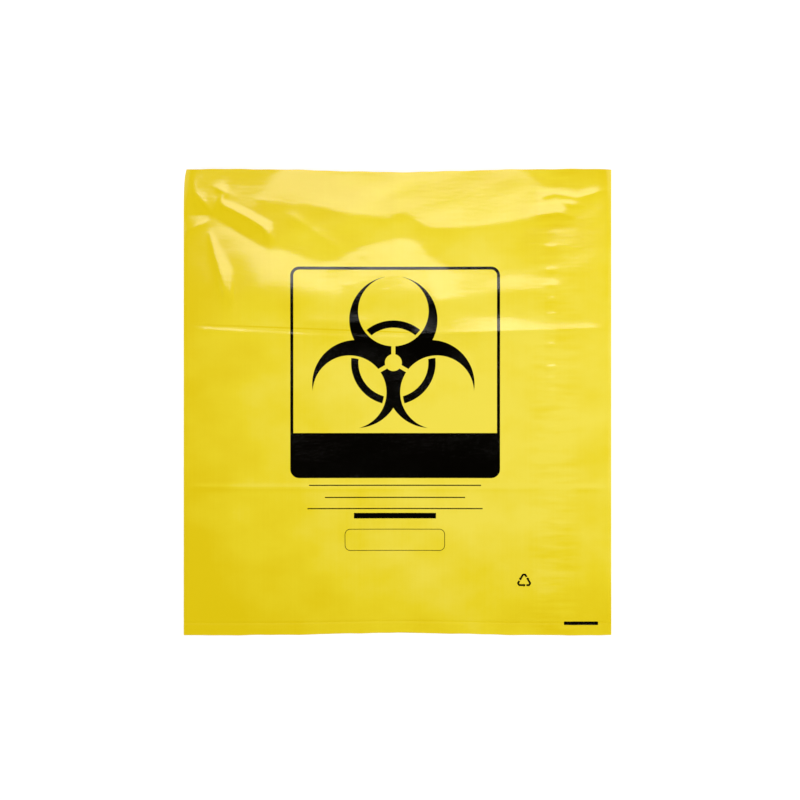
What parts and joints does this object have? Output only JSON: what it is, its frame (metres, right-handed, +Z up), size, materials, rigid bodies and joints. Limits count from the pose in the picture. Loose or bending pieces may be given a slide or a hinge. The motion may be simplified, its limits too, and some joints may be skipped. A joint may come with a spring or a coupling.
{
  "type": "biohazard waste bag",
  "caption": "Flat, empty polythene waste bag: a tube of thin film folded at both sides, welded across the bottom and open at the mouth.",
  "frame": {"origin": "centre of the flat bag's outline, on the underside of the back wall", "axes": "+X across the bag, +Y along it from the bottom weld towards the mouth, +Z up from the back wall through the printed front wall"},
  "size_m": [0.55, 0.6, 0.0103],
  "materials": {
    "film": "glossy yellow low-density polythene, slightly see-through, with a black warning sign printed on the front wall"
  },
  "bodies": {
    "root": {"bag": "film"}
  },
  "joints": []
}
